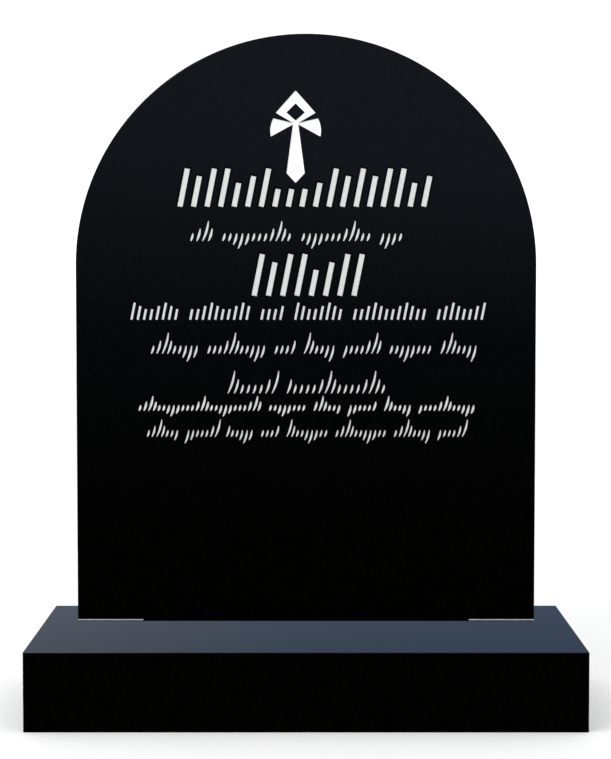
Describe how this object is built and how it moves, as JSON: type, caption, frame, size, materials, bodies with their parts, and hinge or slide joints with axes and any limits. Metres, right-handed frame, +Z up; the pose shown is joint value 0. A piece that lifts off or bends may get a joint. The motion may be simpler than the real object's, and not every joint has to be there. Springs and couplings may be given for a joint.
{
  "type": "headstone",
  "caption": "Upright headstone plate with a half-round top on a low rectangular base, its face carved with a looped cross and rows of inscription.",
  "frame": {"origin": "middle of the base's underside, where it meets the ground", "axes": "+Z up, -Y the way the carved face looks, +X to the right of someone who faces the stone"},
  "size_m": [0.61, 0.305, 0.7683],
  "materials": {
    "plate_granite": "polished black granite, its carving painted white",
    "base_granite": "polished black granite"
  },
  "bodies": {
    "root": {"headstone": "plate_granite", "base": "base_granite"}
  },
  "joints": []
}
